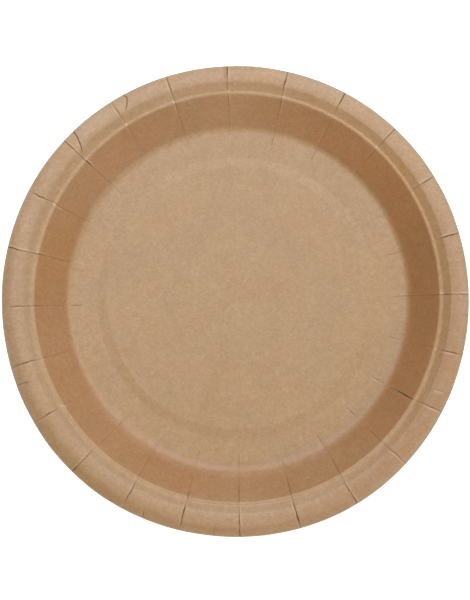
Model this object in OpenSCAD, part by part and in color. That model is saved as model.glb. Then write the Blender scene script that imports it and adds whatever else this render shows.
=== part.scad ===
// Round pressed paper plate: one kraft board blank, scored with radial creases
// and drawn into a shallow dish. The board has the same thickness everywhere
// except at the pleats, where the slack of the flat blank laps over itself.
// Millimetres, +Z up, the plate resting on Z = 0, the middle of the blank's
// outline at X = Y = 0. The pressed form sits a little off the blank's middle.

/* [Board] */
// Outer diameter of the trimmed blank
plate_d = 230; // [222:1:232]
// Thickness of the board
board_t = 0.45; // [0.3:0.05:0.8]
// Shift of the pressed form to the right of the blank's middle
form_dx = 0.8; // [-2:0.1:2]
// Shift of the pressed form to the back of the blank's middle
form_dy = 1.8; // [-2:0.1:2]

/* [Floor] */
// Radius of the raised centre disc, at the middle of its step
disc_r = 67.4; // [50:0.1:72]
// Radius of the two bends that make the step
step_bend = 2.5; // [1:0.1:6]
// Slope of the step, in degrees
step_slope = 7; // [4:0.5:20]
// Horizontal run of the straight part of the step
step_run = 4.6; // [0.5:0.1:6]
// Radius at which the flat floor ends and the wall bend begins
floor_r = 82.9; // [81.5:0.1:86]

/* [Wall] */
// Radius of the bend between floor and wall
wall_bend = 4.2; // [2:0.1:6]
// Slope of the wall, in degrees
wall_slope = 47; // [35:1:60]
// Horizontal run of the straight part of the wall
wall_run = 12.9; // [10:0.1:15]

/* [Bead and rim] */
// Radius of the ridge at the top of the wall
bead_bend = 1.8; // [0.8:0.1:2]
// Slope of the short fall outside the ridge, in degrees
fall_slope = 8; // [4:1:25]
// Horizontal run of the fall
fall_run = 0.2; // [0.1:0.1:2]
// Radius of the shallow valley
valley_bend = 1.8; // [0.8:0.1:4]
// Slope of the rise from the valley to the crest, in degrees
rise_slope = 26; // [8:1:32]
// Horizontal run of the rise
rise_run = 2.7; // [0.5:0.1:4]
// Radius of the bend at the crest
crest_bend = 4.3; // [2:0.1:12]
// Radius of the nearly flat shelf outside the crest
shelf_bend = 40; // [20:1:60]
// Slope at the outer end of the shelf, in degrees
shelf_slope = 5.5; // [2:0.5:10]
// Radius of the rim's outer bend
rim_bend = 9.5; // [6:0.1:15]
// Slope of the rim at its edge, in degrees
rim_slope = 32; // [20:1:40]

/* [Pleats] */
// Number of creases around the plate
pleats = 24; // [12:1:36]
// Angle of the first crease from the back, clockwise, in degrees
first_pleat = 13.4; // [0:0.1:15]
// Radius at which the laps start, at the foot of the wall
lap_start = 87.5; // [86:0.5:92]
// Width of a lap at the plate's edge
lap_w = 1.3; // [0.6:0.1:2]
// How far a lap stands out of the board, above and below
lap_t = 0.12; // [0.06:0.02:0.3]
// Radius at which the score lines start, on the floor
score_start = 77; // [74:0.5:79]
// Radius at which the score lines end, before the wall bend
score_end = 80.8; // [80:0.1:80.8]
// Depth of a score line
score_depth = 0.12; // [0.05:0.01:0.15]

/* [Hidden] */
board_colour = [0.73, 0.60, 0.47];
$fn = 180;

// Longest turn, in degrees, between two points of a bend
fine = 10;
// The straight end of the rim is drawn past the trimmed edge
end_run = 8;
step_side = step_bend * sin(step_slope);
step_reach = step_side + step_run / 2;

// The upper face of the board from the axis to the rim. Each leg bends by
// some degrees at some radius, up if positive, then runs straight over a
// horizontal run: [bend radius, degrees, horizontal run].
FLOOR_LEGS = [
    [1, 0, disc_r - step_reach],
    [step_bend, -step_slope, step_run],
    [step_bend, step_slope, floor_r - disc_r - step_reach],
];
WALL_LEGS = [
    [wall_bend, wall_slope, wall_run],
    [bead_bend, -wall_slope - fall_slope, fall_run],
    [valley_bend, fall_slope + rise_slope, rise_run],
    [crest_bend, -rise_slope, 0],
    [shelf_bend, -shelf_slope, 0],
    [rim_bend, shelf_slope - rim_slope, end_run],
];

// Points of one bend that starts at p = [radius, height, heading]
function bend(p, r, turn) =
    turn == 0 ? [] :
    let (n = max(2, ceil(abs(turn) / fine)), s = sign(turn))
    [for (i = [1 : n])
        let (b = p[2] + turn * i / n)
        [p[0] + s * r * (sin(b) - sin(p[2])),
         p[1] + s * r * (cos(p[2]) - cos(b)), b]];

// Point at the end of a straight run from p
function straight(p, run) =
    run == 0 ? [] : [[p[0] + run, p[1] + run * tan(p[2]), p[2]]];

// All points of the legs from number i on, without the first point p
function walk(p, legs, i = 0) =
    i == len(legs) ? [] :
    let (a = bend(p, legs[i][0], legs[i][1]),
         q = len(a) == 0 ? p : a[len(a) - 1],
         b = straight(q, legs[i][2]),
         e = len(b) == 0 ? q : b[0])
    concat(a, b, walk(e, legs, i + 1));

disc_top = board_t + 2 * step_bend * (1 - cos(step_slope)) + step_run * tan(step_slope);
axis_point = [0, disc_top, 0];
floor_end = [floor_r, board_t, 0];
wall_path = concat([floor_end], walk(floor_end, WALL_LEGS));
plate_path = concat([axis_point], walk(axis_point, concat(FLOOR_LEGS, WALL_LEGS)));

// The path moved square to itself, down by d into the board
function below(path, d) =
    [for (p = path) [p[0] + d * sin(p[2]), p[1] - d * cos(p[2])]];
function backwards(list) = [for (i = [len(list) - 1 : -1 : 0]) list[i]];

// Section between two distances below the upper face
module section(path, d0, d1) {
    polygon(concat(below(path, d0), backwards(below(path, d1))));
}

// The drawn board, before trimming
module pressed_board() {
    translate([form_dx, form_dy, 0])
        rotate_extrude() section(plate_path, 0, board_t);
}

// Places its children at each crease, which then runs along +X
module at_creases() {
    for (i = [0 : pleats - 1])
        rotate(90 - first_pleat - i * 360 / pleats) children();
}

// The laps: slivers of board that widen from the wall bend to the edge, on
// one side of each crease, and stand a little out of the board on both faces
module laps() {
    reach = plate_d / 2 + 1;
    intersection() {
        translate([form_dx, form_dy, 0])
            rotate_extrude() section(wall_path, -lap_t, board_t + lap_t);
        at_creases()
            translate([0, 0, -5]) linear_extrude(height = 40)
                polygon([[lap_start, 0], [reach, 0], [reach, -lap_w]]);
    }
}

// The V-shaped score lines that the creases leave on the floor
module scores() {
    at_creases()
        translate([score_start, 0, board_t])
            rotate([90, 0, 90]) linear_extrude(height = score_end - score_start)
                polygon([[0, -score_depth], [0.5, 0.2], [-0.5, 0.2]]);
}

// The whole plate, trimmed to its round outline
module plate() {
    color(board_colour)
    intersection() {
        difference() {
            union() { pressed_board(); laps(); }
            scores();
        }
        translate([0, 0, -5]) cylinder(h = 40, d = plate_d);
    }
}

plate();
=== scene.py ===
import math

import bpy
import numpy as np
from mathutils import Matrix, Vector


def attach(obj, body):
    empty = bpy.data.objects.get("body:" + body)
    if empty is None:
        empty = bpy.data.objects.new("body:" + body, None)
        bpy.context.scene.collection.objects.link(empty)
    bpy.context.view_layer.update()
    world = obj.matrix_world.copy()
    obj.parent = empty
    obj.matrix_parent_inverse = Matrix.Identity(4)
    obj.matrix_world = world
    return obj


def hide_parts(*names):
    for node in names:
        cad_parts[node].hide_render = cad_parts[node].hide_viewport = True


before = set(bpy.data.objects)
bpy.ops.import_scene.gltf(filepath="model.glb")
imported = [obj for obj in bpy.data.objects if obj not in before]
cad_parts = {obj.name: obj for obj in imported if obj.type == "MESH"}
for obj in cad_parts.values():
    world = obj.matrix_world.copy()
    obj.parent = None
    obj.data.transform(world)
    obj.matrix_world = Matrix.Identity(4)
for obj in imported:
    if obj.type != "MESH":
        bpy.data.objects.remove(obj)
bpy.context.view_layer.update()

rng = np.random.default_rng(240)
MM = 0.001
PX = 0.4897  # mm at the rim for one pixel of the 470 x 600 frame

# ---------------------------------------------------------------- the form
BOARD = 0.45
FORM = np.array([0.8, 1.8])  # middle of the pressed form, from the middle of the blank
EDGE_R = 114.86
# how far the trimmed outline strays from round: order, part along the back, part along the right, mm
STRAY = [(2, 0.033, 0.05), (3, -0.024, 0.098), (4, -0.24, -0.034), (5, 0.07, 0.04), (6, -0.024, -0.024)]

OVAL = 0.0035  # the whole plate is that much longer to the back, and that much narrower across

FLOOR_R, STEP_R, STEP_BEND, STEP_SLOPE, STEP_RUN = 82.95, 67.4, 2.5, 7.0, 4.6
STEP_REACH = STEP_BEND * math.sin(math.radians(STEP_SLOPE)) + STEP_RUN / 2
TOP = BOARD + 2 * STEP_BEND * (1 - math.cos(math.radians(STEP_SLOPE))) + STEP_RUN * math.tan(math.radians(STEP_SLOPE))
FOOT_BEND, WALL_SLOPE, WALL_END = 4.2, 47.0, 98.9
# the rim outside its highest line: a wide bend, then the outer bend: [bend radius, degrees]
RIM = [(18.0, 5.5), (11.5, 21.0)]

# [bend radius, degrees, horizontal run, points in the bend, points in the run]
LEGS = [
    [1, 0, STEP_R - STEP_REACH, 0, 0],
    [STEP_BEND, -STEP_SLOPE, STEP_RUN, 3, 3],
    [STEP_BEND, STEP_SLOPE, FLOOR_R - STEP_R - STEP_REACH, 3, 7],
    [FOOT_BEND, WALL_SLOPE, WALL_END - FLOOR_R - FOOT_BEND * math.sin(math.radians(WALL_SLOPE)), 8, 10],
    [1.8, -51.5, 0.2, 10, 1],
    [1.8, 29.5, 3.3, 5, 4],
    [2.2, -18, 0, 5, 0],
    [16.0, -7, 0, 4, 0],
    [11.5, 0, 8.0, 0, 6],
]


def section():
    """The upper face from the axis to past the edge: rows of radius, height, heading in radians, leg number."""
    r, z, a = 0.0, TOP, 0.0
    out = []
    for n, (bend, turn, run, nb, nr) in enumerate(LEGS):
        s = np.sign(turn)
        for i in range(1, nb + 1):
            b = a + math.radians(turn) * i / nb
            out.append((r + s * bend * (math.sin(b) - math.sin(a)), z + s * bend * (math.cos(a) - math.cos(b)), b, n))
        if nb:
            r, z, a = out[-1][:3]
        if n == 0:
            for q in (6, 13, 21, 30, 39, 47, 54, 59, 62.5):
                out.append((q, z, 0.0, 0))
            r = run
            out.append((r, z, 0.0, 0))
        elif run:
            for i in range(1, nr + 1):
                out.append((r + run * i / nr, z + run * i / nr * math.tan(a), a, n))
            r, z, a = out[-1][:3]
    return np.array(out)


SECTION = section()

# ---------------------------------------------------------------- the creases
# angle clockwise from the back, turn on the wall (degrees), lean at the edge (degrees), wave (degrees),
# second line beside it (mm), side of the lap, how dark the fold is and how light its flank is at nine
# places: floor, foot, low wall, high wall, bead, valley, inner rim, middle rim, outer rim
CREASES = [
    (12.98, 0.10, 0.10, 0.06, 0.0, 1, (6, 4, 0, 6, 9, 12, 20, 46, 16), (4, 2, 2, 2, 14, 4, 8, 4, 2)),
    (27.92, 0.08, 0.05, 0.05, 0.0, -1, (6, 4, 4, 6, 0, 10, 9, 38, 32), (2, 2, 2, 0, 2, 0, 4, 8, 2)),
    (42.86, -0.02, 0.02, 0.05, 0.0, -1, (1, 2, 0, 6, 6, 14, 11, 20, 24), (2, 2, 0, 0, 10, 2, 4, 6, 6)),
    (57.82, 0.05, 0.00, 0.06, 0.0, -1, (0, 0, 0, 3, 6, 10, 9, 31, 23), (0, 2, 0, 0, 2, 2, 8, 12, 4)),
    (72.90, 0.05, 0.00, 0.05, 0.0, -1, (4, 3, 0, 4, 0, 6, 28, 48, 23), (0, 0, 0, 0, 4, 2, 10, 6, 4)),
    (88.06, -0.05, 0.10, 0.04, 0.0, -1, (6, 7, 2, 5, 9, 19, 5, 14, 24), (2, 2, 2, 0, 8, 0, 8, 4, 12)),
    (103.17, -0.15, 0.00, 0.06, 0.0, 1, (6, 0, 1, 2, 5, 4, 27, 28, 15), (6, 2, 0, 0, 6, 2, 14, 6, 4)),
    (118.26, 0.45, -0.35, 0.05, 0.0, 1, (9, 0, 2, 25, 7, 7, 14, 28, 17), (8, 0, 0, 2, 4, 2, 12, 16, 8)),
    (133.37, 0.22, -0.05, 0.06, 0.0, 1, (10, 0, 1, 5, 8, 7, 17, 20, 11), (6, 0, 0, 0, 2, 0, 6, 12, 6)),
    (148.63, -0.26, 0.02, 0.05, 0.0, -1, (6, 3, 1, 8, 9, 3, 24, 18, 33), (2, 0, 0, 0, 4, 4, 4, 6, 8)),
    (163.67, -0.02, 0.02, 0.03, 0.0, 1, (0, 4, 2, 8, 9, 10, 30, 44, 26), (2, 0, 2, 2, 0, 8, 6, 4, 4)),
    (178.68, 0.10, 0.00, 0.06, 0.0, -1, (4, 2, 3, 8, 5, 4, 25, 15, 30), (0, 0, 0, 0, 2, 10, 8, 2, 0)),
    (193.59, -0.06, 0.00, 0.05, 0.0, 1, (4, 1, 0, 7, 10, 5, 35, 28, 14), (0, 0, 0, 0, 2, 8, 0, 6, 0)),
    (208.71, 0.07, 0.00, 0.05, 0.0, 1, (3, 2, 3, 4, 6, 8, 27, 22, 2), (2, 0, 0, 0, 2, 6, 4, 0, 0)),
    (223.71, -0.23, 0.03, 0.04, 0.0, 1, (1, 5, 1, 6, 0, 5, 23, 12, 46), (0, 0, 2, 2, 0, 0, 4, 4, 6)),
    (238.88, -0.13, 0.05, 0.05, 0.0, -1, (2, 0, 1, 3, 0, 4, 27, 20, 7), (2, 2, 0, 0, 8, 0, 6, 2, 2)),
    (253.76, -0.16, -0.30, 0.07, 0.0, -1, (4, 1, 3, 6, 6, 9, 24, 34, 18), (2, 0, 0, 0, 4, 2, 4, 4, 2)),
    (268.80, -0.02, -0.10, 0.04, 0.0, -1, (7, 0, 3, 2, 11, 7, 22, 13, 2), (2, 2, 2, 2, 6, 6, 6, 2, 0)),
    (283.64, 0.05, -0.15, 0.10, 0.0, 1, (3, 2, 6, 3, 17, 10, 11, 38, 35), (6, 0, 2, 2, 10, 6, 8, 10, 10)),
    (298.52, 0.07, -0.29, 0.10, 0.0, -1, (3, 4, 4, 5, 11, 7, 23, 36, 8), (4, 0, 0, 0, 22, 4, 4, 8, 4)),
    (313.58, -0.02, -0.30, 0.08, 0.0, 1, (3, 3, 5, 3, 46, 15, 17, 39, 21), (2, 0, 0, 2, 32, 4, 12, 6, 0)),
    (328.48, 0.13, -0.15, 0.06, 0.0, -1, (0, 2, 2, 4, 2, 4, 14, 22, 14), (0, 0, 0, 0, 16, 2, 4, 8, 4)),
    (343.28, 0.09, -0.10, 0.10, 0.0, -1, (1, 3, 4, 4, 12, 5, 27, 27, 24), (0, 0, 0, 0, 20, 2, 6, 6, 6)),
    (358.19, -0.02, 0.00, 0.05, -1.3, 1, (0, 4, 2, 4, 5, 11, 7, 31, 33), (0, 4, 0, 0, 12, 0, 6, 8, 8)),
]
PLACES = (165.0, 174.0, 182.5, 193.5, 205.3, 210.7, 218.0, 224.0, 230.0)  # of the nine, px
REACH = (12.2, 13.1, 14.0, 15.0, 18.8, 23.5, 26.5, 35.0, 37.0)  # a fold this dark is open right through
# short cracks of the rim: angle at the edge, angle at the inner end, from and to (px), depth, light beside
# it, hook at the outer end (degrees)
CRACKS = [
    (316.80, 314.50, 212.5, 236, 0.95, 0.20, 0.0),
    (332.50, 330.10, 218, 234, 0.80, 0.15, -0.7),
    (203.20, 203.60, 225, 233, 0.70, 0.10, 0.0),
    (249.10, 248.50, 217, 234, 0.50, 0.10, 0.0),
    (113.40, 113.75, 216, 227, 0.22, 0.55, 0.0),
    (185.20, 185.00, 222, 233, 0.35, 0.10, 0.0),
]


def smooth(x, a, b):
    t = np.clip((x - a) / (b - a), 0, 1)
    return t * t * (3 - 2 * t)


def wander(x, seed, n=5, base=1.0):
    """A smooth curve over x in degrees or radius, about -1 to 1, the same each run."""
    g = np.random.default_rng(seed)
    y = np.zeros_like(x, float)
    for i in range(1, n + 1):
        y += g.normal() / i**0.7 * np.sin(base * i * x + g.uniform(0, 2 * math.pi))
    return y / 2.2


# ---------------------------------------------------------------- the columns
def before_stretch(a):
    """The angle that the oval stretch turns into a."""
    r = math.radians(a)
    return math.degrees(math.atan2(math.sin(r) / (1 - OVAL), math.cos(r) / (1 + OVAL))) % 360


CREASES = [(before_stretch(c[0]),) + c[1:] for c in CREASES]
CRACKS = [(before_stretch(c[0]), before_stretch(c[1])) + c[2:] for c in CRACKS]
NEAR = [-2.4, -1.5, -1.0, -0.72, -0.46, -0.28, -0.13, 0.0, 0.13, 0.28, 0.46, 0.72, 1.0, 1.5, 2.4]  # mm at the edge
angles, fixed = [], []
for c in CREASES:
    for x in NEAR:
        angles.append((c[0] + math.degrees(x / EDGE_R)) % 360)
for c in CRACKS:
    mid = c[0]
    for x in (-0.7, -0.42, -0.24, -0.11, 0.0, 0.11, 0.24, 0.42, 0.7):
        angles.append((mid + math.degrees(x / EDGE_R)) % 360)
angles = sorted(angles)
# no two columns closer than 0.035 degrees, none further apart than 1.6
kept = []
for a in angles:
    if not kept or a - kept[-1] > 0.035:
        kept.append(a)
full = []
for i, a in enumerate(kept):
    b = kept[(i + 1) % len(kept)] + (360 if i == len(kept) - 1 else 0)
    full.append(a)
    gap = b - a
    if gap > 1.6:
        n = int(math.ceil(gap / 1.6))
        full += [(a + gap * k / n) % 360 for k in range(1, n)]
THETA = np.array(sorted(full))
NCOL = len(THETA)


def signed(d):
    return (d + 180) % 360 - 180


# ---------------------------------------------------------------- the rows
path = SECTION
edge_leg = len(LEGS) - 1
R0 = path[:, 0]
inner = path[:, 3] < edge_leg  # every row up to the crest
rim = path[path[:, 3] == edge_leg]
CREST = path[inner][-1, 0]
ZC = path[inner][-1, 1]


def bells(rows, angles):
    """A curve round the plate: the sum of bells, each a clock angle, a half width and a height."""
    return sum(much * np.exp(-((((angles - at + 180) % 360 - 180) / half) ** 2)) for at, half, much in rows)


# where the rim is rolled down less or more, degrees: from the crest on, and in its outer half
roll = np.tan(np.radians(bells([(112, 30, 4.0), (300, 30, 5.0), (15, 50, 2.0)], THETA)))
roll_out = np.tan(np.radians(bells([(234, 30, -5.0), (312, 34, 8.0), (20, 42, 6.0), (78, 30, 3.0)], THETA)))
# how much wider than the plain section the bend at the foot is
foot_k = 1.15 + bells([(100, 42, 0.5), (165, 28, 1.2), (212, 20, 1.0), (265, 35, 0.6)], THETA)


def rim_height(q):
    """Height and heading at the form radius q of the plain section, outside the crest."""
    z, h = np.full_like(q, ZC), np.zeros_like(q)
    r0, a0 = CREST, 0.0
    for n, (bend, turn) in enumerate(RIM):
        a1 = a0 + math.radians(turn)
        run = bend * (math.sin(a1) - math.sin(a0))
        d = np.clip(q - r0, 0, run)
        ang = np.arcsin(np.clip(math.sin(a0) + d / bend, -1, 1))
        z = z - bend * (math.cos(a0) - np.cos(ang))
        h = np.where(q > r0, -ang, h)
        r0, a0 = r0 + run, a1
    z = z - np.maximum(q - r0, 0) * math.tan(a0)
    x = np.maximum(q - CREST, 0)
    y = np.maximum(x - 3.0, 0)
    z = z + roll * np.where(x < 2, x * x / 4, x - 1) + roll_out * np.where(y < 2, y * y / 4, y - 1)
    return z, h + np.arctan(roll * np.minimum(x / 2, 1)) + np.arctan(roll_out * np.minimum(y / 2, 1))


u = np.stack([np.sin(np.radians(THETA)), np.cos(np.radians(THETA))], 1)  # x right, y back
out_r = EDGE_R + sum(a * np.cos(k * np.radians(THETA)) + b * np.sin(k * np.radians(THETA)) for k, a, b in STRAY)

rows_r, rows_z, rows_h, rows_leg = [], [], [], []
# the foot of the wall is not quite in line with the bead above it
FOOT = np.array([0.42, -0.95])


def from_form(R, off=0.0):
    """Distance from the blank's middle of the circle of radius R about the form's middle, in each column."""
    c = FORM + off * FOOT
    uf = u @ c
    return uf + np.sqrt(np.maximum(R**2 - (c @ c - uf**2), 0))


foot_b = FOOT_BEND * foot_k
half_turn = math.tan(math.radians(WALL_SLOPE / 2))
foot_start = FLOOR_R + (FOOT_BEND - foot_b) * half_turn
foot_end = foot_start + foot_b * math.sin(math.radians(WALL_SLOPE))
foot_rise = BOARD + foot_b * (1 - math.cos(math.radians(WALL_SLOPE)))
PLAIN_END = FLOOR_R + FOOT_BEND * math.sin(math.radians(WALL_SLOPE))
RING_END = STEP_R + STEP_REACH
for r, z, h, leg in path[inner]:
    rr, zz = np.full(NCOL, r), np.full(NCOL, z)
    if leg == 2 and r > RING_END:
        rr = RING_END + (r - RING_END) * (foot_start - RING_END) / (FLOOR_R - RING_END)
    elif leg == 3 and r < PLAIN_END + 1e-6:
        rr = foot_start + foot_b * math.sin(h)
        zz = BOARD + foot_b * (1 - math.cos(h))
    elif leg == 3:
        rr = foot_end + (r - PLAIN_END) / (WALL_END - PLAIN_END) * (WALL_END - foot_end)
        zz = foot_rise + (rr - foot_end) * math.tan(h)
    rho = from_form(rr, float(smooth(r, 70.0, 80.0) * (1 - smooth(r, 84.0, 99.0))))
    rows_r.append(rho)
    rows_z.append(zz)
    rows_h.append(np.full(NCOL, h))
    rows_leg.append(leg)

edge_form = np.linalg.norm(out_r[:, None] * u - FORM, axis=1)
RIM_STEPS = [k / 15 for k in range(1, 14)] + [0.905, 0.94, 0.968, 0.987, 1.0]
for t in RIM_STEPS:
    q = CREST + t * (edge_form - CREST)
    z, h = rim_height(q)
    rho = from_form(q)
    if t == 1.0:
        rho = out_r
    rows_r.append(rho)
    rows_z.append(z)
    rows_h.append(h)
    rows_leg.append(edge_leg)

RHO = np.array(rows_r)  # rows x columns, from the middle of the blank
Z = np.array(rows_z)
H = np.array(rows_h)
LEG = np.array(rows_leg)
NROW = len(RHO)

# ---------------------------------------------------------------- what the press and the folds do to it
TH = np.tile(THETA, (NROW, 1))
RP = RHO / PX  # radius in px
TW = TH.copy()  # the columns follow each crease as it leans and waves
lift = np.zeros_like(Z)  # upper face, square to the board
under = np.zeros_like(Z)  # lower face, the same way up
dark = np.zeros_like(Z)
light = np.zeros_like(Z)

# radius from the middle of the form, and the radius that the nine places are counted by
XY = RHO[:, :, None] * np.stack([np.sin(np.radians(TH)), np.cos(np.radians(TH))], 2) - FORM
RF = np.linalg.norm(XY, axis=2) / PX
RM = RF + (RP - RF) * smooth(RF, 213, 221)
bead_r = from_form(np.full(NCOL, 100.45))
for n, (a, turn_w, lean, wave, second, side, darks, lights) in enumerate(CREASES):
    d = signed(TH - a)
    near = np.abs(d) < 7.4
    x = RHO * np.radians(d)
    bend = (
        turn_w * (1 - smooth(RM, 203, 216))
        + lean * np.clip((RP - 217) / 18, 0, 1.1) ** 1.5
        + 1.4 * wave * (wander(RP / 7.0, 50 + n, 4) + 0.5 * wander(RP / 2.2, 150 + n, 4)) * smooth(RP, 165, 212)
    )
    TW = TW + np.where(near, bend * (1 - smooth(np.abs(d), 2.0, 6.5)), 0)
    grain = np.clip(0.95 + 0.25 * wander(RP / 2.3, 80 + n, 5), 0.6, 1.25)
    inside = smooth(RM, 157, 160) * (1 - smooth(RP, 234.0, 235.5) * 0.3)
    fold = np.minimum(np.interp(RM, PLACES, np.array(darks) / REACH), 1.25) * inside * grain
    lit = np.interp(RM, PLACES, lights) * inside * grain
    line = np.exp(-((x / (0.23 + 0.06 * np.clip(fold, 0, 1.2))) ** 2))
    # the fold: a fine open gap with the lap standing up on one side of it
    lift -= np.where(near, line * 0.15 * fold, 0)
    w_lap = 0.35 + 1.5 * smooth(RP, 176, 236)
    s = np.clip(side * x, 0, None)
    raised = (side * x > 0.02) * np.exp(-((s / w_lap) ** 2))
    height = (0.03 + 0.0014 * max(darks[6:])) * smooth(RP, 178, 214)
    lift += np.where(near, raised * height, 0)
    under -= np.where(near, (side * x < 0) * np.exp(-((x / w_lap) ** 2)) * height, 0)
    under += np.where(near, line * 0.09 * fold, 0)
    # painted shadow in the open gap, partly the darker fibres the fold lays bare
    dark = np.maximum(dark, np.where(near, np.minimum(line * fold, 1.0), 0))
    # the lit flank beside the gap: a painted highlight
    flank = np.exp(-(((side * x - 0.74) / 0.34) ** 2))
    away_from_bead = 1 - np.exp(-(((RM - 205.3) / 3.2) ** 2))
    light = np.maximum(light, np.where(near, flank * lit / 17 * away_from_bead * smooth(RM, 172, 178), 0))
    if second:
        line2 = np.exp(-(((x - second * smooth(RP, 195, 236)) / 0.24) ** 2)) * smooth(RP, 206, 214)
        lift -= np.where(near, line2 * 0.12 * fold, 0)
        # painted shadow in the second line
        dark = np.maximum(dark, np.where(near, 0.55 * line2 * fold, 0))
    # the score on the floor, raised a little, with a painted highlight where it stands up
    score = np.exp(-(((side * x - 0.3) / 0.30) ** 2)) * (1 - smooth(RM, 172, 177))
    lift += np.where(near, 0.009 * score * lit, 0)
    light = np.maximum(light, np.where(near, score * lit / 12, 0))
    # the knot of folded board where the crease passes over the bead
    spot = lights[4] / 12
    shift = side * 0.62 * min(1.0, darks[4] / 12)
    knot = np.exp(-(((x - shift) / 0.48) ** 2) - (((RHO - bead_r) / 0.68) ** 2))
    lift += np.where(near, knot * 0.12 * (0.3 + spot), 0)
    # painted highlight on the knot over the bead, partly the paler cracked fibres there
    light = np.maximum(light, np.where(near, np.minimum(knot * spot, 1.35), 0))
    dark = dark * (1 - np.where(near, np.clip(knot * spot * 0.45, 0, 0.85), 0))

for n, (a1, a0, r0, r1, depth, beside, hook) in enumerate(CRACKS):
    d = signed(TH - a1)
    near = np.abs(d) < 0.6
    t = np.clip((r1 - RP) / (r1 - r0), 0, 1.0)
    bend = (a0 - a1) * t**1.7 * smooth(RP, 196, r0) + hook * smooth(RP, r1 - 4.5, r1)
    TW = TW + bend * np.clip((3.2 - np.abs(d)) / 2.95, 0, 1)
    x = RHO * np.radians(d)
    on = smooth(RP, r0 - 1, r0 + 5) * (1 - smooth(RP, r1 - 0.5, r1 + 1)) * depth
    line = np.exp(-((x / 0.28) ** 2))
    lift -= np.where(near, line * 0.15 * on, 0)
    under += np.where(near, line * 0.08 * on, 0)
    # painted shadow in the crack
    dark = np.maximum(dark, np.where(near, line * on, 0))
    # painted highlight on the lit flank of the crack
    flank = np.exp(-(((x - 0.5) / 0.22) ** 2)) * smooth(RP, r0 - 1, r0 + 3) * (1 - smooth(RP, r1 - 0.5, r1 + 1))
    light = np.maximum(light, np.where(near, flank * beside, 0))

# the last millimetre of the rim is greyer
rim_edge = np.exp(-(((out_r[None] - RHO) / 0.8) ** 2)) * (0.92 + 0.1 * wander(TH / 3.0, 31, 6))

# painted shade: the steep wall a little darker and redder than the floor, where the board's sheen is missing, starting
# lower at the front over the highlight of the foot; and the rim a little pinker
low = bells([(180, 75, 1.0)], TH)
wall_shade_zone = smooth((np.degrees(H) - 8 + 8 * low) / (34 - 20 * low), 0, 1) * ((LEG[:, None] >= 3) & (LEG[:, None] <= 4))
rim_zone = smooth(RF, 205, 212)
# painted shade: the right of the wall, the valley and the crest darker and redder, where less light falls
right_shade = np.exp(-((((TH - 86 - 24 * smooth(RF, 204, 214) + 180) % 360 - 180) / 36) ** 2))
right_shade_zone = right_shade * smooth(RF, 170, 178) * (1 + 0.4 * smooth(RF, 207, 214)) * (1 - 0.8 * smooth(RP, 222, 232))

# lighter on the bead and on the shelf outside the crest
crest_zone = np.exp(-(((RF - 205.4) / 1.5) ** 2)) * (1.5 - bells([(100, 48, 1.5)], TH)) + smooth(RF, 214, 218) * (
    1 - bells([(112, 36, 1.3)], TH)
)
# browner and darker along the front edge, painted shade where the outer rim faces away from the light, and brown stain
# in patches to the left
patches = np.clip(0.5 + 0.9 * wander(TH / 1.9, 141, 6) * wander(RP / 2.9 + TH / 5.0, 142, 4), 0, 1)
stain_and_shade_zone = (
    bells([(172, 36, 1.1)], TH) * smooth(RP, 217, 230)
    + bells([(228, 17, 1.1)], TH) * smooth(RP + 2 * patches, 226, 229) * patches
    + bells([(216, 8, 0.35)], TH) * smooth(RP, 221, 227)
)
# greyer on the left of the wall and outside the crest
on_wall = smooth(RF, 174, 180) * (1 - smooth(RF, 200, 203))
valley = np.exp(-(((RF - 210.5) / 2.6) ** 2))
shelf = np.exp(-(((RF - 217.5) / 3.2) ** 2))
outer = smooth(RP, 220, 226)
grey_zone = (
    smooth(RF, 213, 217) * 0.33
    + smooth(RP, 213, 225) * bells([(254, 22, 0.67)], TH)
    + on_wall * bells([(253, 14, 0.6), (148, 12, 0.45)], TH)
    + shelf * bells([(150, 16, 0.5), (188, 24, 0.3), (201, 8, 0.3), (240, 18, 0.35)], TH)
    + outer * bells([(21, 8, 0.2), (64, 16, 0.3), (92, 10, 0.6), (246, 7, 0.3), (291, 7, 0.3), (321, 7, 0.25)], TH)
    + valley * bells([(156, 8, 0.5)], TH)
)
# browner on the wall at the back left, on two panels of the valley and the shelf there, and on the front rim
brown_zone = (
    on_wall * bells([(325, 34, 1.0), (5, 12, 0.95)], TH)
    + outer * bells([(171, 7, 0.6), (186, 8, 0.7), (216, 8, 0.6)], TH)
    + valley * bells([(291, 6, 0.9), (321, 6, 1.0)], TH)
    + shelf * bells([(306, 6, 0.4)], TH)
)
# two panels of the rim are paler in their outer half, painted light where those panels face the light more; the shelf
# outside the crest is paler at the back, and the wall and the valley are at the front right
pale_zone = (
    smooth(RP, 218, 224) * bells([(291, 8, 0.95), (321, 7, 1.0)], TH)
    + np.exp(-(((RF - 217.5) / 2.2) ** 2)) * bells([(2, 14, 1.0)], TH)
    + on_wall * bells([(150, 13, 0.6)], TH)
    + valley * bells([(156, 8, 0.9), (66, 7, 0.7)], TH)
    + outer * bells([(201, 6, 0.4), (231, 6, 0.5)], TH)
)
# more orange on the wall and in the valley at the back right, and deeper in the valley on two sides
orange_zone = bells([(34, 24, 1.0)], TH) * smooth(RF, 172, 178) * (1 - smooth(RF, 212, 214.5))
orange_zone = orange_zone + valley * bells([(351, 17, 0.6)], TH) + outer * bells([(36, 7, 0.5), (186, 7, 0.45), (291, 7, 0.4)], TH)
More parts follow.
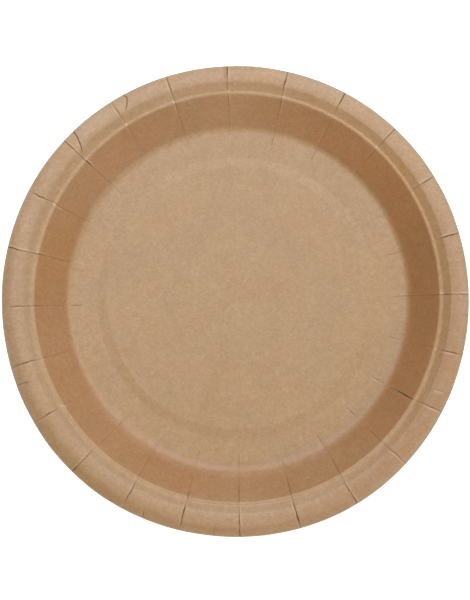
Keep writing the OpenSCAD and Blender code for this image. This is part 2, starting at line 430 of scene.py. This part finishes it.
# painted shade where the board turns up into the front wall, over the highlight of that bend, on the crest at the right
# and on the rim at the front, with fainter patches on the shelf, the valley and the wall
painted_shade_zone = (
    np.exp(-(((RF - 171.2 + bells([(172, 17, 2.4)], TH)) / (2.3 + bells([(172, 17, 0.9)], TH))) ** 2))
    * bells([(112, 20, 0.72), (138, 16, 0.8), (171, 18, 0.9), (215, 26, 0.55)], TH)
    + shelf * bells([(287, 30, 0.22), (312, 13, 0.15), (231, 24, 0.25), (66, 22, 0.2), (111, 8, 0.35)], TH)
    + valley * bells([(186, 9, 0.25), (291, 6, 0.4), (321, 6, 0.2)], TH)
    + outer * bells([(111, 7, 0.2)], TH)
    + np.exp(-(((RF - 216.2) / 2.8) ** 2)) * bells([(112, 34, 0.8), (111, 9, 0.25)], TH)
    + np.exp(-(((RP - 227.0) / 3.0) ** 2)) * bells([(186, 11, 0.6)], TH)
    + on_wall * bells([(6, 8, 0.28), (306, 8, 0.13)], TH)
)

# panels between the creases: each a little crowned on the rim, and not quite level with the next
panel = ((TH - 13.4) / 15.0) % 1.0
number = np.floor(((TH - 13.4) % 360) / 15.0).astype(int) % 24
tilt = rng.normal(0, 1, 24)
heave = rng.normal(0, 1, 24)
bell = np.sin(math.pi * panel) ** 2
on_edge = smooth(RP, 208, 234)
lift_all = on_edge * bell * (0.10 + 0.10 * heave[number]) + on_edge * bell * (panel - 0.5) * 0.30 * tilt[number]
# the whole plate is a little out of true
thr = np.radians(TH)
lift_all = lift_all + smooth(RP, 176, 236) * (0.16 * np.sin(2 * thr + 0.6) + 0.10 * np.sin(3 * thr + 2.0))
# the floor breathes a little
xx, yy = RHO * np.sin(thr), RHO * np.cos(thr)
floor_in = 1 - smooth(RP, 150, 166)
lift_all = lift_all + floor_in * 0.07 * (np.sin(xx / 19 + 1.0) * np.cos(yy / 23 - 0.4) + 0.6 * np.sin(yy / 13 + xx / 31))

# ---------------------------------------------------------------- points
twr = np.radians(TW)
P = np.stack([RHO * np.sin(twr), RHO * np.cos(twr), Z], 2)
stretch = np.array([1 - OVAL, 1 + OVAL, 1.0])
away = P[:, :, :2] - FORM
away /= np.maximum(np.linalg.norm(away, axis=2, keepdims=True), 1e-9)
N = np.concatenate([-np.sin(H)[:, :, None] * away, np.cos(H)[:, :, None]], 2)
top = (P + N * (lift + lift_all)[:, :, None]) * stretch
bottom = (P - N * (BOARD - under - lift_all)[:, :, None]) * stretch
# the resting ring stays on the floor
flat_ring = (RP < 169)
bottom[:, :, 2] = np.where(flat_ring & (LEG[:, None] == 2), np.maximum(bottom[:, :, 2], 0.0), bottom[:, :, 2])

# ---------------------------------------------------------------- the mesh
SPLIT = int(np.argmax(path[:, 0] > 74.0))  # rows before this one have few columns
STEPC = 5
coarse = np.arange(0, NCOL, STEPC)
verts, faces, tags = [], [], []
FIELDS = {
    "crease": dark,
    "highlight_and_cracked_fibre": light,
    "rim_edge": rim_edge,
    "wall_shade_zone": wall_shade_zone,
    "rim_zone": rim_zone,
    "right_shade_zone": right_shade_zone,
    "crest_zone": crest_zone,
    "stain_and_shade_zone": stain_and_shade_zone,
    "grey_zone": grey_zone,
    "orange_zone": orange_zone,
    "brown_zone": brown_zone,
    "pale_zone": pale_zone,
    "painted_shade_zone": painted_shade_zone,
    # painted shade in the valley on the right and on the left
    "valley_shade_right": valley * bells([(118, 36, 1.0)], TH),
    "valley_shade_left": valley * bells([(240, 48, 1.0)], TH),
}
values = {name: [] for name in FIELDS}
attr_form = []


def add_surface(pts, flip, side):
    """One face of the board. Returns the indices of its last row."""
    start = len(verts)
    index = -np.ones((NROW, NCOL), int)
    for i in range(NROW):
        cols = coarse if i < SPLIT else np.arange(NCOL)
        for j in cols:
            index[i, j] = len(verts)
            verts.append(pts[i, j])
            for name, field in FIELDS.items():
                values[name].append(field[i, j])
            attr_form.append(side)
    middle = len(verts)
    verts.append([FORM[0], FORM[1], pts[0, 0, 2]])
    for name in FIELDS:
        values[name].append(0.0)
    attr_form.append(side)

    def put(f):
        faces.append(tuple(f[::-1]) if flip else tuple(f))

    m = len(coarse)
    for j in range(m):
        put([middle, index[0, coarse[(j + 1) % m]], index[0, coarse[j]]])
    for i in range(1, SPLIT):
        for j in range(m):
            a, b = coarse[j], coarse[(j + 1) % m]
            put([index[i - 1, a], index[i - 1, b], index[i, b], index[i, a]])
    i = SPLIT
    for j in range(m):
        a = coarse[j]
        last = coarse[(j + 1) % m]
        span = list(range(a, last if last > a else NCOL)) + [last]
        half = len(span) // 2
        for k in range(len(span) - 1):
            inner_v = index[i - 1, a] if k < half else index[i - 1, last]
            put([inner_v, index[i, span[k + 1]], index[i, span[k]]])
            if k == half - 1:
                put([index[i - 1, a], index[i - 1, last], index[i, span[k + 1]]])
    for i in range(SPLIT + 1, NROW):
        for j in range(NCOL):
            b = (j + 1) % NCOL
            put([index[i - 1, j], index[i - 1, b], index[i, b], index[i, j]])
    return index[NROW - 1]


rim_top = add_surface(top, False, 0.0)
rim_bottom = add_surface(bottom, True, 1.0)
n_faces_skin = len(faces)
for j in range(NCOL):
    b = (j + 1) % NCOL
    faces.append((int(rim_top[j]), int(rim_top[b]), int(rim_bottom[b]), int(rim_bottom[j])))

mesh = bpy.data.meshes.new("plate_board")
co = np.array(verts, float) * MM
mesh.from_pydata([tuple(v) for v in co], [], [tuple(int(i) for i in f) for f in faces])
mesh.update()
mesh.validate()

import bmesh

bm = bmesh.new()
bm.from_mesh(mesh)
bmesh.ops.recalc_face_normals(bm, faces=bm.faces)
bm.to_mesh(mesh)
bm.free()

for name in FIELDS:
    layer = mesh.attributes.new(name, "FLOAT", "POINT")
    layer.data.foreach_set("value", np.array(values[name], np.float32))
cut = mesh.attributes.new("cut_edge", "FLOAT", "FACE")
cut_values = np.zeros(len(mesh.polygons), np.float32)
cut_values[n_faces_skin:] = 1.0
cut.data.foreach_set("value", cut_values)
mesh.polygons.foreach_set("use_smooth", np.ones(len(mesh.polygons), bool))
rim_set = set(int(i) for i in rim_top) | set(int(i) for i in rim_bottom)
top_set = set(int(i) for i in rim_top)
sharp = np.zeros(len(mesh.edges), bool)
ev = np.zeros(len(mesh.edges) * 2, np.int32)
mesh.edges.foreach_get("vertices", ev)
ev = ev.reshape(-1, 2)
for k, (a, b) in enumerate(ev):
    if a in rim_set and b in rim_set and ((a in top_set) == (b in top_set)):
        sharp[k] = True
mesh.edges.foreach_set("use_edge_sharp", sharp)

# map for baking: the upper face in one corner, the lower face in the other, each seen square on
uv = mesh.uv_layers.new(name="OFBake")
loop_v = np.zeros(len(mesh.loops), np.int32)
mesh.loops.foreach_get("vertex_index", loop_v)
loop_side = np.array(attr_form, np.float32)[loop_v]
poly_of = np.zeros(len(mesh.loops), np.int32)
starts = np.zeros(len(mesh.polygons), np.int32)
totals = np.zeros(len(mesh.polygons), np.int32)
mesh.polygons.foreach_get("loop_start", starts)
mesh.polygons.foreach_get("loop_total", totals)
for p, (s0, t0) in enumerate(zip(starts, totals)):
    poly_of[s0 : s0 + t0] = p
xy = co[loop_v][:, :2] / (EDGE_R * MM)
UR = 0.287
uvc = np.where(
    loop_side[:, None] < 0.5,
    np.array([0.005 + UR, 0.995 - UR]) + xy * UR,
    np.array([0.995 - UR, 0.005 + UR]) + xy * np.array([-1, 1]) * UR,
)
on_cut = cut_values[poly_of] > 0.5
turn = (np.degrees(np.arctan2(xy[:, 0], xy[:, 1])) % 360) / 360
if on_cut.any():
    # the cut edge as a straight strip along the map's left side would be too thin to hold a pixel,
    # so it is a thin ring just outside the upper face
    ring = np.where(loop_side < 0.5, 1.004, 1.016)
    uvc[on_cut] = (np.array([0.005 + UR, 0.995 - UR]) + xy / np.linalg.norm(xy, axis=1, keepdims=True) * (ring * UR)[:, None])[on_cut]
uv.uv.foreach_set("vector", uvc.astype(np.float32).ravel())

plate = bpy.data.objects.new("plate_board", mesh)
bpy.context.scene.collection.objects.link(plate)
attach(plate, "root")
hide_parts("plate")

# ---------------------------------------------------------------- the board's material
mat = bpy.data.materials.new("kraft_board")
mat.use_nodes = True
nt = mat.node_tree
nt.nodes.clear()
L = nt.links.new


def node(kind, **props):
    n = nt.nodes.new(kind)
    for k, v in props.items():
        setattr(n, k, v)
    return n


def put(n, **values):
    for k, v in values.items():
        n.inputs[k.replace("_", " ")].default_value = v
    return n


out = node("ShaderNodeOutputMaterial")
bsdf = node("ShaderNodeBsdfPrincipled")
L(bsdf.outputs[0], out.inputs[0])
coord = node("ShaderNodeTexCoord").outputs["Object"]


def noise(scale, detail=3.0, rough=0.55, stretch=None, turn=0.0, distortion=0.0):
    n = node("ShaderNodeTexNoise")
    put(n, Scale=scale, Detail=detail, Roughness=rough, Distortion=distortion)
    if stretch is None:
        L(coord, n.inputs["Vector"])
    else:
        spin = node("ShaderNodeMapping")
        L(coord, spin.inputs["Vector"])
        spin.inputs["Rotation"].default_value = (0, 0, math.radians(turn))
        m = node("ShaderNodeMapping")
        L(spin.outputs[0], m.inputs["Vector"])
        m.inputs["Scale"].default_value = stretch
        L(m.outputs[0], n.inputs["Vector"])
    return n.outputs["Fac"]


def ranged(value, a, b, c=0.0, d=1.0):
    n = node("ShaderNodeMapRange")
    put(n, From_Min=a, From_Max=b, To_Min=c, To_Max=d)
    L(value, n.inputs["Value"])
    return n.outputs[0]


def maths(op, a, b=None):
    n = node("ShaderNodeMath", operation=op)
    for k, v in enumerate((a, b)):
        if v is None:
            continue
        if isinstance(v, (int, float)):
            n.inputs[k].default_value = v
        else:
            L(v, n.inputs[k])
    return n.outputs[0]


def mix(kind, fac, a, b):
    n = node("ShaderNodeMix", data_type="RGBA", blend_type=kind)
    for k, v in ((0, fac), (6, a), (7, b)):
        if isinstance(v, (int, float)):
            n.inputs[k].default_value = v
        elif isinstance(v, tuple):
            n.inputs[k].default_value = (*v, 1.0)
        else:
            L(v, n.inputs[k])
    return n.outputs[2]


colour = mix("MIX", ranged(noise(34, 2.0), 0.36, 0.64), (0.460, 0.266, 0.1094), (0.4505, 0.270, 0.1196))
# cloudy formation of the sheet, at some millimetres
colour = mix("MULTIPLY", 1.0, colour, mix("MIX", ranged(noise(48, 2.0), 0.36, 0.64), (0.974, 0.970, 0.965), (1.026, 1.030, 1.035)))
colour = mix("MULTIPLY", 1.0, colour, mix("MIX", ranged(noise(230, 4.0, 0.6), 0.32, 0.68), (0.967, 0.947, 0.885), (1.033, 1.053, 1.115)))
# fine grain, at half a millimetre
colour = mix("MULTIPLY", 1.0, colour, mix("MIX", ranged(noise(900, 3.0, 0.65), 0.3, 0.7), (0.957, 0.920, 0.81), (1.043, 1.080, 1.19)))
wall_shade_f = node("ShaderNodeAttribute", attribute_name="wall_shade_zone").outputs["Fac"]
rim_f = node("ShaderNodeAttribute", attribute_name="rim_zone").outputs["Fac"]
# painted shade on the steep wall
colour = mix("MULTIPLY", wall_shade_f, colour, (0.985, 0.880, 0.860))
crest_f = node("ShaderNodeAttribute", attribute_name="crest_zone").outputs["Fac"]
right_shade_f = node("ShaderNodeAttribute", attribute_name="right_shade_zone").outputs["Fac"]
colour = mix("MULTIPLY", rim_f, colour, (1.0, 0.974, 1.0))
colour = mix("MULTIPLY", crest_f, colour, (1.05, 1.045, 1.04))
stain_and_shade_f = node("ShaderNodeAttribute", attribute_name="stain_and_shade_zone").outputs["Fac"]
# painted shade on the front outer rim, and brown stain in patches to the left
colour = mix("MULTIPLY", stain_and_shade_f, colour, (0.90, 0.85, 0.76))
# painted shade on the right side
colour = mix("MULTIPLY", right_shade_f, colour, (0.955, 0.880, 0.785))
for zone, tint in (
    ("grey_zone", (1.018, 1.085, 1.27)),
    ("brown_zone", (1.025, 0.985, 0.895)),
    # painted light, in part: two outer rim panels that face the light more
    ("pale_zone", (1.05, 1.075, 1.14)),
    ("orange_zone", (1.075, 1.012, 0.965)),
    # painted shade
    ("painted_shade_zone", (0.86, 0.845, 0.785)),
    # painted shade in the valley on the right and on the left
    ("valley_shade_right", (0.935, 0.935, 0.87)),
    ("valley_shade_left", (0.88, 0.92, 0.95)),
):
    colour = mix("MULTIPLY", node("ShaderNodeAttribute", attribute_name=zone).outputs["Fac"], colour, tint)
# fibres lying in three directions
for k, (turn_k, amount) in enumerate(((12, 0.064), (71, 0.056), (133, 0.056))):
    f = noise(1.0, 2.0, 0.5, stretch=(430, 1500, 700), turn=turn_k, distortion=0.6)
    colour = mix("MULTIPLY", 1.0, colour, mix("MIX", ranged(f, 0.34, 0.66), (1 - 0.7 * amount, 1 - 1.0 * amount, 1 - 1.9 * amount), (1 + 0.7 * amount, 1 + 1.0 * amount, 1 + 1.9 * amount)))
# a few dark flecks
fleck = node("ShaderNodeTexVoronoi", feature="F1")
put(fleck, Scale=120.0, Randomness=1.0)
L(coord, fleck.inputs["Vector"])
rare = node("ShaderNodeSeparateColor")
L(fleck.outputs["Color"], rare.inputs[0])
spot_f = maths("MULTIPLY", ranged(fleck.outputs["Distance"], 0.012, 0.045, 1.0, 0.0), ranged(rare.outputs[0], 0.93, 0.97))
colour = mix("MIX", maths("MULTIPLY", spot_f, 0.55), colour, (0.17, 0.10, 0.055))

crease = node("ShaderNodeAttribute", attribute_name="crease").outputs["Fac"]
highlight_and_cracked_fibre = node("ShaderNodeAttribute", attribute_name="highlight_and_cracked_fibre").outputs["Fac"]
cut_f = node("ShaderNodeAttribute", attribute_name="cut_edge").outputs["Fac"]
edge_f = node("ShaderNodeAttribute", attribute_name="rim_edge").outputs["Fac"]
ragged = ranged(noise(1600, 2.0), 0.3, 0.7, 0.75, 1.1)
# painted shadow in the open fold gaps and cracks, partly the darker fibres they lay bare
colour = mix("MIX", maths("MULTIPLY", crease, ragged), colour, (0.092, 0.031, 0.009))
# painted highlight on the lit flanks and scores, and on the knots at the bead, which are partly paler cracked fibres
colour = mix("MIX", maths("MULTIPLY", highlight_and_cracked_fibre, 0.62), colour, (0.80, 0.62, 0.44))
colour = mix("MULTIPLY", edge_f, colour, (0.87, 1.26, 1.70))
colour = mix("MIX", maths("MULTIPLY", cut_f, 0.6), colour, (0.36, 0.25, 0.16))
L(colour, bsdf.inputs["Base Color"])

rough = ranged(noise(420, 3.0), 0.3, 0.7, 0.38, 0.46)
rough = maths("ADD", rough, maths("MULTIPLY", crease, 0.5))
L(rough, bsdf.inputs["Roughness"])
L(maths("SUBTRACT", 1.0, maths("MULTIPLY", crease, 0.85)), bsdf.inputs["Specular IOR Level"])
bsdf.inputs["IOR"].default_value = 1.47

bump_h = maths("ADD", maths("MULTIPLY", noise(1300, 3.0, 0.6), 0.55), maths("MULTIPLY", noise(330, 3.0, 0.55), 0.45))
bump = node("ShaderNodeBump")
put(bump, Strength=0.35, Distance=0.00012)
L(bump_h, bump.inputs["Height"])
L(bump.outputs[0], bsdf.inputs["Normal"])
mesh.materials.append(mat)

# ---------------------------------------------------------------- floor
floor_mesh = bpy.data.meshes.new("floor")
S = 3.0
floor_mesh.from_pydata([(-S, -S, 0), (S, -S, 0), (S, S, 0), (-S, S, 0)], [], [(0, 1, 2, 3)])
floor = bpy.data.objects.new("floor", floor_mesh)
floor.location = (0, 0, -0.0003)
bpy.context.scene.collection.objects.link(floor)
fm = bpy.data.materials.new("floor_white")
fm.use_nodes = True
fb = fm.node_tree.nodes["Principled BSDF"]
fb.inputs["Base Color"].default_value = (0.9, 0.9, 0.9, 1)
fb.inputs["Roughness"].default_value = 0.9
fb.inputs["Specular IOR Level"].default_value = 0.0
fb.inputs["Emission Color"].default_value = (1, 1, 1, 1)
fb.inputs["Emission Strength"].default_value = 0.7
floor_mesh.materials.append(fm)

# ---------------------------------------------------------------- camera
LENS, SENSOR = 135.0, 36.0
distance = PX * MM * 600 * LENS / SENSOR
cam_data = bpy.data.cameras.new("camera")
cam_data.lens = LENS
cam_data.sensor_width = SENSOR
cam_data.sensor_fit = "AUTO"
cam_data.clip_start, cam_data.clip_end = 0.01, 20
camera = bpy.data.objects.new("camera", cam_data)
# the middle of the picture falls on this point, and the view leans this many degrees to the right and to the front
AIM = (0.00015, 0.00086, 0.0138)
LEAN_RIGHT, LEAN_FRONT = 1.7, 0.4
towards = Vector((math.sin(math.radians(LEAN_RIGHT)), -math.sin(math.radians(LEAN_FRONT)), 0))
towards.z = math.sqrt(1 - towards.length_squared)
camera.location = Vector(AIM) + towards * distance
across = Vector((0, 1, 0)).cross(towards).normalized()
camera.rotation_euler = Matrix((across, towards.cross(across), towards)).transposed().to_euler()
bpy.context.scene.collection.objects.link(camera)
bpy.context.scene.camera = camera

# ---------------------------------------------------------------- light
world = bpy.data.worlds.new("studio")
bpy.context.scene.world = world
world.use_nodes = True
world.node_tree.nodes["Background"].inputs[0].default_value = (1, 1, 1, 1)
world.node_tree.nodes["Background"].inputs[1].default_value = 0.15


def softbox(name, clock, zenith, reach, size, energy, colour=(1, 1, 1)):
    """An area light towards a clock angle of the picture, zenith degrees down from straight above, facing the plate."""
    data = bpy.data.lights.new(name, "AREA")
    data.shape = "DISK"
    data.size = size
    data.energy = energy
    data.color = colour
    light_ob = bpy.data.objects.new(name, data)
    zr, cr = math.radians(zenith), math.radians(clock)
    at = np.array([math.sin(zr) * math.sin(cr), math.sin(zr) * math.cos(cr), math.cos(zr)]) * reach
    light_ob.location = at
    light_ob.rotation_euler = (-Vector(at)).to_track_quat("-Z", "Y").to_euler()
    bpy.context.scene.collection.objects.link(light_ob)
    return light_ob


# a bank of equal soft discs: clock angle, zenith, energy
BANK = [
    (0, 15, 2.83),
    (270, 15, 2.13),
    (0, 32, 2.94),
    (45, 32, 3.45),
    (90, 32, 2.90),
    (180, 32, 2.70),
    (315, 32, 2.89),
    (135, 55, 2.42),
    (0, 75, 2.38),
    (45, 75, 1.64),
    (135, 75, 0.92),
    (180, 75, 2.17),
]
for n, (clock, zenith, energy) in enumerate(BANK):
    softbox(f"disc_{n}", clock, zenith, 1.6, 0.7, energy)

bpy.context.scene.view_settings.view_transform = "Standard"
